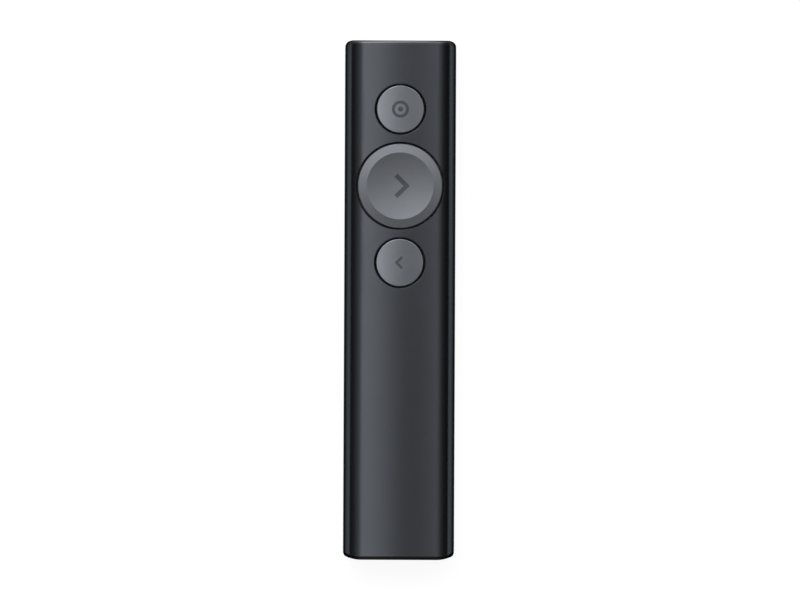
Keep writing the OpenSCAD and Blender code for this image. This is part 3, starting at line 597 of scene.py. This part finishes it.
def collar(shell, end, kept):
    """The ring inside the tube that a cap is held by, along the columns that kept allows."""
    outer, inner = TUBE_WALL + COLLAR_GAP, TUBE_WALL + COLLAR_GAP + COLLAR_WALL
    inward = flipped(OUTLINE)
    rows = [
        [end_sample(c, end, outer, 0, 0) for c in OUTLINE],
        [end_sample(c, end, outer, -COLLAR_L, 0) for c in OUTLINE],
        [end_sample(c, end, outer, -COLLAR_L, -QUARTER) for c in OUTLINE],
        [end_sample(c, end, inner, -COLLAR_L, -QUARTER) for c in OUTLINE],
        [end_sample(c, end, -inner, -COLLAR_L, 0) for c in inward],
        [end_sample(c, end, -inner, 0, 0) for c in inward],
        [end_sample(c, end, -inner, 0, QUARTER) for c in inward],
        [end_sample(c, end, outer, 0, QUARTER) for c in OUTLINE],
    ]
    count = len(OUTLINE)
    kept_columns = [all(kept(row[i][0]) for row in rows) for i in range(count)]
    for i in range(count):
        j = (i + 1) % count
        if kept_columns[i] and kept_columns[j]:
            for first, second in zip(rows, rows[1:]):
                shell.face([first[i], first[j], second[j], second[i]])
        for k, other in ((i, j), (j, i)):
            before = (k - 1) % count if other == j else (k + 1) % count
            if kept_columns[k] and kept_columns[other] and not kept_columns[before]:
                away = unit([a - b for a, b in zip(rows[0][k][0], rows[0][other][0])])
                shell.face([(rows[row][k][0], away) for row in (0, 1, 3, 5)])


def end_cap(name, end, material, openings, kept):
    """A cap's lip, rounded to the end face, with softened openings, and its collar. Each opening is an
    outline, and kept tells whether the collar may reach a place."""
    shell = Shell()
    round_r = LIP - EDGE_R
    profile = [(EDGE_R * (1 - math.cos(t)), EDGE_R * (1 + math.sin(t)), t)
               for t in steps(-QUARTER, 0, EDGE_STEPS)]
    profile += [(round_r * (1 - math.cos(t)), EDGE_R + round_r * math.sin(t), t)
                for t in steps(0, QUARTER, 2 * EDGE_STEPS)[1:]]
    rows = [[end_sample(column, end, inset, along, t) for column in OUTLINE] for inset, along, t in profile]
    shell.strips(rows)
    front_rims, back_rims = [rows[-1]], [rows[0]]
    for opening in openings:
        columns = flipped(opening)
        walls = [[end_sample(column, end, 0, 0, 0) for column in columns]]
        for t in steps(0, QUARTER, EDGE_STEPS):
            inset, along = RIM_R * (1 - math.cos(t)), LIP + RIM_R * (math.sin(t) - 1)
            walls.append([end_sample(column, end, inset, along, t) for column in columns])
        shell.strips(walls)
        front_rims.append(walls[-1])
        back_rims.append(walls[0])
    shell.fill(front_rims, lambda x, z: end_sample((x, z, 0, 0), end, 0, LIP, QUARTER), FACE_SPACING)
    shell.fill(back_rims, lambda x, z: end_sample((x, z, 0, 0), end, 0, 0, -QUARTER), BACK_SPACING)
    collar(shell, end, kept)
    shell.make(name + "_smooth", "housing", material, [name])


def port_opening(node, corner_r, corner_steps=6):
    """The outline of an opening in the rear cap, a gap wider than the node that shows in it. A corner
    radius of None rounds its short sides fully."""
    low, high = box_mm(node)
    width, height = (high[axis] - low[axis] + 2 * PORT_GAP for axis in (0, 2))
    x, z = ((low[axis] + high[axis]) / 2 for axis in (0, 2))
    radius = height / 2 - STRAIGHT if corner_r is None else corner_r + PORT_GAP
    return rounded_outline(width, height, radius, x, z, corner_steps)


def end_caps():
    """The closed front cap, and the rear one with openings for the receiver and the charging socket."""
    openings = [port_opening("receiver_body", RECEIVER_CORNER),
                port_opening("usb_port_shell", None, corner_steps=10)]
    bay_low, bay_high = box_mm("receiver_bay")

    def clear_of_bay(place):
        return not all(bay_low[a] - PART_GAP < place[a] < bay_high[a] + PART_GAP for a in (0, 2))

    # the front cap wears the lighter copy of the cap plastic, which is painted light
    end_cap("front_cap", FRONT, FRONT_CAP_PAINTED_LIGHTER, [], lambda place: True)
    end_cap("rear_cap", REAR, MATERIALS["cap_plastic"], openings, clear_of_bay)


# ---- Keys ----

TURN_STEPS = 120
DISH_RINGS, CROWN_RINGS = 10, 8
TURNS = [2 * math.pi * i / TURN_STEPS for i in range(TURN_STEPS)]


def level(x):
    """The plane at height 0, as a surface that rings can be measured from."""
    return 0, (0, 0, 1)


def ring(key, radius, height, out, up, over=level):
    """A ring of samples round a key's axis, height above a surface. Its normal is out times the direction
    from the axis plus up times the surface's own."""
    samples = []
    for turn in TURNS:
        x = radius * math.cos(turn)
        base, rise = over(x)
        normal = unit((out * math.cos(turn) + up * rise[0], out * math.sin(turn), up * rise[2]))
        samples.append(((x, key.y + radius * math.sin(turn), base + height), normal))
    return samples


def underside(shell, key, under):
    """Inside a key: the hollow skirt, the middle pin and the two snap hooks."""
    inner = key.radius - KEY_SKIRT
    shell.strips([ring(key, key.radius, SKIRT_Z, 0, -1), ring(key, inner, SKIRT_Z, 0, -1)])
    shell.strips([ring(key, inner, SKIRT_Z, -1, 0), ring(key, inner, under, -1, 0)])
    shell.strips([ring(key, inner, under, 0, -1), ring(key, PIN_R, under, 0, -1)])
    shell.strips([ring(key, PIN_R, under, 1, 0), ring(key, PIN_R, PLUNGER_TOP, 1, 0)])
    shell.strips([ring(key, PIN_R, PLUNGER_TOP, 0, -1), ring(key, 0, PLUNGER_TOP, 0, -1)])
    hook_x = inner - PART_GAP - HOOK_T
    barb_x, barb_top = hook_x + HOOK_T + BARB_REACH, key.bottom + BARB_H
    for side in (-1, 1):
        profile = [(hook_x, key.bottom), (barb_x, key.bottom), (barb_x, barb_top),
                   (hook_x + HOOK_T, barb_top), (hook_x + HOOK_T, under), (hook_x, under)]
        shell.prism([(side * x, z) for x, z in profile], key.y - HOOK_W / 2, key.y + HOOK_W / 2, side)


def small_key_top(key):
    """The surface of a small key's top, as a function of x."""
    return lambda x: roof(x, key.top - BODY_H)


def small_key(key):
    """A round cap whose top follows the housing's crown, with a rounded edge."""
    shell = Shell()
    over = small_key_top(key)
    flat_r = key.radius - SMALL_EDGE_R
    rows = [ring(key, radius, 0, 0, 1, over) for radius in steps(0, flat_r, CROWN_RINGS)]
    rows += [ring(key, flat_r + SMALL_EDGE_R * math.sin(t), SMALL_EDGE_R * (math.cos(t) - 1),
                  math.sin(t), math.cos(t), over) for t in steps(0, QUARTER, EDGE_STEPS)]
    shell.strips(rows + [ring(key, key.radius, SKIRT_Z, 1, 0)])
    underside(shell, key, over(key.radius)[0] - KEY_TOP_T)
    shell.make(key.name + "_button_smooth", key.name + "_button", MATERIALS["key_plastic"],
               [key.name + "_button"])


def dish_ball():
    """The radius of the ball that the dish is part of."""
    return DISH_R / math.sin(DISH_SLOPE)


def dish_floor():
    """The height of the dish's lowest point."""
    return NEXT.top - dish_ball() * (1 - math.cos(DISH_SLOPE))


def next_key():
    """A turned form: a shallow ball dish, a ridge, a sloping ring round it and a rounded edge."""
    shell = Shell()
    ball, floor_z = dish_ball(), dish_floor()
    ridge_half = RIDGE_R * math.sin(DISH_SLOPE)
    last_turn = math.asin((DISH_R - ridge_half) / ball)
    rows = [ring(NEXT, ball * math.sin(t), floor_z + ball * (1 - math.cos(t)), -math.sin(t), math.cos(t))
            for t in steps(0, last_turn, DISH_RINGS)]
    ridge_centre = NEXT.top - RIDGE_R / math.cos(DISH_SLOPE)
    rows += [ring(NEXT, DISH_R + RIDGE_R * math.sin(t), ridge_centre + RIDGE_R * math.cos(t),
                  math.sin(t), math.cos(t)) for t in steps(-DISH_SLOPE, DISH_SLOPE, EDGE_STEPS)[1:]]
    edge_x = NEXT.radius - NEXT_EDGE_R
    edge_z = NEXT.top - (edge_x - DISH_R) * math.tan(DISH_SLOPE) - NEXT_EDGE_R
    rows += [ring(NEXT, edge_x + NEXT_EDGE_R * math.sin(t), edge_z + NEXT_EDGE_R * math.cos(t),
                  math.sin(t), math.cos(t)) for t in steps(DISH_SLOPE, QUARTER, 2 * EDGE_STEPS)]
    shell.strips(rows + [ring(NEXT, NEXT.radius, SKIRT_Z, 1, 0)])
    underside(shell, NEXT, floor_z - KEY_TOP_T)
    shell.make("next_button_smooth", "next_button", DISHED_KEY, ["next_button"])


# ---- Printed marks ----

CHEVRON_STEPS = 16
CIRCLE_TURNS = TURNS[::2]


def dish_top(x, y):
    """Height and normal of the next key's dish at a point measured from its axis."""
    ball = dish_ball()
    rise = math.sqrt(1 - (x * x + y * y) / ball ** 2)
    return dish_floor() + ball * (1 - rise), (-x / ball, -y / ball, rise)


def ribbon(shell, key, pairs, top, closed):
    """A thin layer of ink between two lines, given as pairs of points measured from a key's axis."""
    upper, lower, sides = [], [], []
    for pair in pairs:
        places = []
        for x, y in pair:
            height, normal = top(x, y)
            upper.append(((x, key.y + y, height + INK), normal))
            lower.append(((x, key.y + y, height - INK), tuple(-c for c in normal)))
            places.append(Vector((x, y)))
        away = places[0] - places[1]
        direction = (*away.normalized(), 0) if away.length else (0, 0, 1)
        sides.append((direction, tuple(-c for c in direction)))
    for layer in (upper, lower):
        shell.strip(layer[0::2], layer[1::2], closed)
    for edge in (0, 1):
        rows = [[(layer[2 * i + edge][0], sides[i][edge]) for i in range(len(pairs))]
                for layer in (upper, lower)]
        shell.strip(*rows, closed)
    if not closed:
        for i, along in ((0, -1), (len(pairs) - 1, 1)):
            step = Vector(pairs[i][0]) - Vector(pairs[i - along][0])
            away = (*(step.normalized()), 0)
            shell.face([(layer[2 * i + edge][0], away) for layer, edge in
                        ((upper, 0), (upper, 1), (lower, 1), (lower, 0))])


def chevron(shell, key, sizes, point, top):
    """An angle mark with square ends whose tip points to the right, 1, or to the left, -1. Its sizes are
    the distance from the key's middle to the tip, the height and the stroke."""
    tip_x, height, stroke = sizes
    cut = stroke / math.sqrt(2)
    outer_end = (tip_x - height / 2, height / 2)
    inner_end = (outer_end[0] - cut, outer_end[1] - cut)
    pairs = []
    for share in steps(-1, 1, CHEVRON_STEPS):
        pair = []
        for start_x, stop in ((tip_x, outer_end), (tip_x - 2 * cut, inner_end)):
            x = start_x + (stop[0] - start_x) * abs(share)
            pair.append((point * x, stop[1] * share))
        pairs.append(pair)
    ribbon(shell, key, pairs, top, closed=False)


def circle_mark(shell, key, outer, inner, top):
    """A ring, or a dot where the inner radius is 0."""
    pairs = [[(r * math.cos(turn), r * math.sin(turn)) for r in (outer, inner)] for turn in CIRCLE_TURNS]
    ribbon(shell, key, pairs, top, closed=True)


def marks():
    """A ring with a dot on the pointer key, and a chevron on each of the other keys."""
    pointer_top = small_key_top(POINTER)
    back_top = small_key_top(BACK)
    shell = Shell()
    circle_mark(shell, POINTER, RING_MARK_R, RING_MARK_HOLE_R, lambda x, y: pointer_top(x))
    circle_mark(shell, POINTER, DOT_MARK_R, 0, lambda x, y: pointer_top(x))
    shell.make("pointer_mark", "pointer_button", MARK_INK)
    shell = Shell()
    chevron(shell, NEXT, NEXT_CHEVRON, 1, dish_top)
    shell.make("next_mark", "next_button", MARK_INK)
    shell = Shell()
    chevron(shell, BACK, BACK_CHEVRON, -1, lambda x, y: back_top(x))
    shell.make("back_mark", "back_button", MARK_INK)


# ---- Light ----

OVERHEAD, OVERHEAD_FOCUS = 0.44, 2.5  # strength, and how fast it fades towards the horizon
EVERYWHERE = 0.045  # light from every direction above the horizon
# Soft strips along Y. Directions run from -1 at the left to 1 at the right.
STRIPS = [  # centre, width, strength
    (-0.25, 0.18, 1.5),
    (-0.5, 0.32, 0.36),
    (0.28, 0.12, 0.48),
    (0.48, 0.19, 0.48),
]
LEAN, LEAN_FADE = 4.6, 1.25  # how much brighter the far side overhead is, and how fast that ends
ENDS_START, ENDS_FULL, ENDS_LIGHT = 0.45, 0.7, 0.55  # how far along Y the pale ends reach, and their light


def lobe(tree, x, centre, width):
    """A soft hill, 1 at the centre, over one part of the direction that a ray looks in."""
    offset = math_node(tree, "DIVIDE", math_node(tree, "SUBTRACT", x, centre), width)
    square = math_node(tree, "MULTIPLY", offset, offset)
    return math_node(tree, "EXPONENT", math_node(tree, "MULTIPLY", square, -1.0))


def tent_light(tree, x, y, z):
    """How bright the light tent is in a direction above the horizon."""
    up = math_node(tree, "MAXIMUM", z, 0.0)
    light = math_node(tree, "MULTIPLY", math_node(tree, "POWER", up, OVERHEAD_FOCUS), OVERHEAD)
    light = math_node(tree, "ADD", light, EVERYWHERE)
    for centre, width, strength in STRIPS:
        strip = math_node(tree, "MULTIPLY", lobe(tree, x, centre, width), strength)
        light = math_node(tree, "ADD", light, strip)
    fade = math_node(tree, "MULTIPLY", math_node(tree, "MULTIPLY", y, y), LEAN_FADE)
    fade = math_node(tree, "MAXIMUM", math_node(tree, "SUBTRACT", 1.0, fade), 0.0)
    lean = math_node(tree, "MULTIPLY", math_node(tree, "MULTIPLY", y, fade), LEAN)
    light = math_node(tree, "MULTIPLY", light, math_node(tree, "EXPONENT", lean))
    ends = add_node(tree, "ShaderNodeMapRange",
                    {"Value": math_node(tree, "ABSOLUTE", y), "From Min": ENDS_START,
                     "From Max": ENDS_FULL, "To Min": 0, "To Max": ENDS_LIGHT})
    return math_node(tree, "ADD", light, ends.outputs[0])


def studio():
    """A light tent that is brightest overhead, with a soft strip on the left, a weaker one on the right, and
    pale ends. It is white below the horizon, which the floor hides from most views."""
    world = bpy.data.worlds.new("studio")
    world.use_nodes = True
    tree = world.node_tree
    place = add_node(tree, "ShaderNodeTexCoord").outputs["Generated"]
    x, y, z = add_node(tree, "ShaderNodeSeparateXYZ", {"Vector": place}).outputs
    above = math_node(tree, "GREATER_THAN", z, 0.0)
    light = math_node(tree, "MULTIPLY", tent_light(tree, x, y, z), above)
    light = math_node(tree, "ADD", light, math_node(tree, "SUBTRACT", 1.0, above))
    sky = tree.nodes["Background"].inputs
    sky["Color"].default_value = (1, 1, 1, 1)
    tree.links.new(light, sky["Strength"])
    bpy.context.scene.world = world


def panel_light(name, size, place, turn, radiance):
    """A rectangular lamp of the given width and length. It looks down until it is turned about X."""
    data = bpy.data.lights.new(name, "AREA")
    data.shape = "RECTANGLE"
    data.size, data.size_y = size
    data.energy = radiance * math.pi * size[0] * size[1]
    panel = bpy.data.objects.new(name, data)
    panel.location = place
    panel.rotation_euler = (math.radians(turn), 0, 0)
    panel.visible_camera = False
    bpy.context.scene.collection.objects.link(panel)


def lamps():
    """A soft panel above the pointer end, so that the housing darkens a little towards its other end, and a
    small low one beyond that end, which the front cap's edge and the bevels of the key holes catch."""
    panel_light("overhead_panel", size=(0.5, 0.36), place=(0, 0.2, 0.55), turn=0, radiance=0.3)
    panel_light("end_panel", size=(0.04, 0.07), place=(0.002, 0.165, 0.035), turn=-90, radiance=5.0)


def floor():
    """A plain white floor just under the object, which keeps its shadow and is clear from below."""
    drop = 0.05 * MM
    half_size, segments = 3, 8
    own_white = 0.92  # the share that is white in any light; the rest shows the shadow
    mesh = bmesh.new()
    bmesh.ops.create_grid(mesh, x_segments=segments, y_segments=segments, size=half_size)
    data = bpy.data.meshes.new("floor")
    mesh.to_mesh(data)
    mesh.free()
    plane = bpy.data.objects.new("floor", data)
    plane.location = (0, 0, -drop)
    bpy.context.scene.collection.objects.link(plane)
    material, tree, shader = new_material("floor_white")
    shader.inputs["Base Color"].default_value = (0.9, 0.9, 0.9, 1)
    shader.inputs["Roughness"].default_value = 0.9
    paths = add_node(tree, "ShaderNodeLightPath").outputs
    seen = math_node(tree, "MAXIMUM", paths["Is Camera Ray"],
                     math_node(tree, "MAXIMUM", paths["Is Glossy Ray"], paths["Is Transmission Ray"]))
    white = add_node(tree, "ShaderNodeEmission", {"Color": (1, 1, 1, 1), "Strength": 1.0})
    top = mix_shaders(tree, math_node(tree, "MULTIPLY", seen, own_white), shader, white)
    below = add_node(tree, "ShaderNodeNewGeometry").outputs["Backfacing"]
    both = mix_shaders(tree, below, top, add_node(tree, "ShaderNodeBsdfTransparent"))
    tree.links.new(both.outputs[0], tree.nodes["Material Output"].inputs["Surface"])
    data.materials.append(material)


# ---- Camera ----


def camera():
    """A straight look down, framed as the photograph is."""
    picture = (800, 600)
    centre = (399.6, 300.2)  # where the object's middle lies in the picture, in pixels
    scale = 3.956  # pixels for each millimetre of the object
    tilt = 0.26  # how far the object leans in the picture, in degrees
    data = bpy.data.cameras.new("camera")
    data.type = "ORTHO"
    data.ortho_scale = picture[0] / scale * MM
    lens = bpy.data.objects.new("camera", data)
    lens.rotation_euler = (0, 0, math.radians(tilt))
    lens.location = ((picture[0] / 2 - centre[0]) / scale * MM, (centre[1] - picture[1] / 2) / scale * MM, 1)
    bpy.context.scene.collection.objects.link(lens)
    bpy.context.scene.camera = lens


housing_tube()
end_caps()
small_key(POINTER)
next_key()
small_key(BACK)
marks()
studio()
lamps()
floor()
camera()
bpy.context.scene.view_settings.view_transform = "Standard"
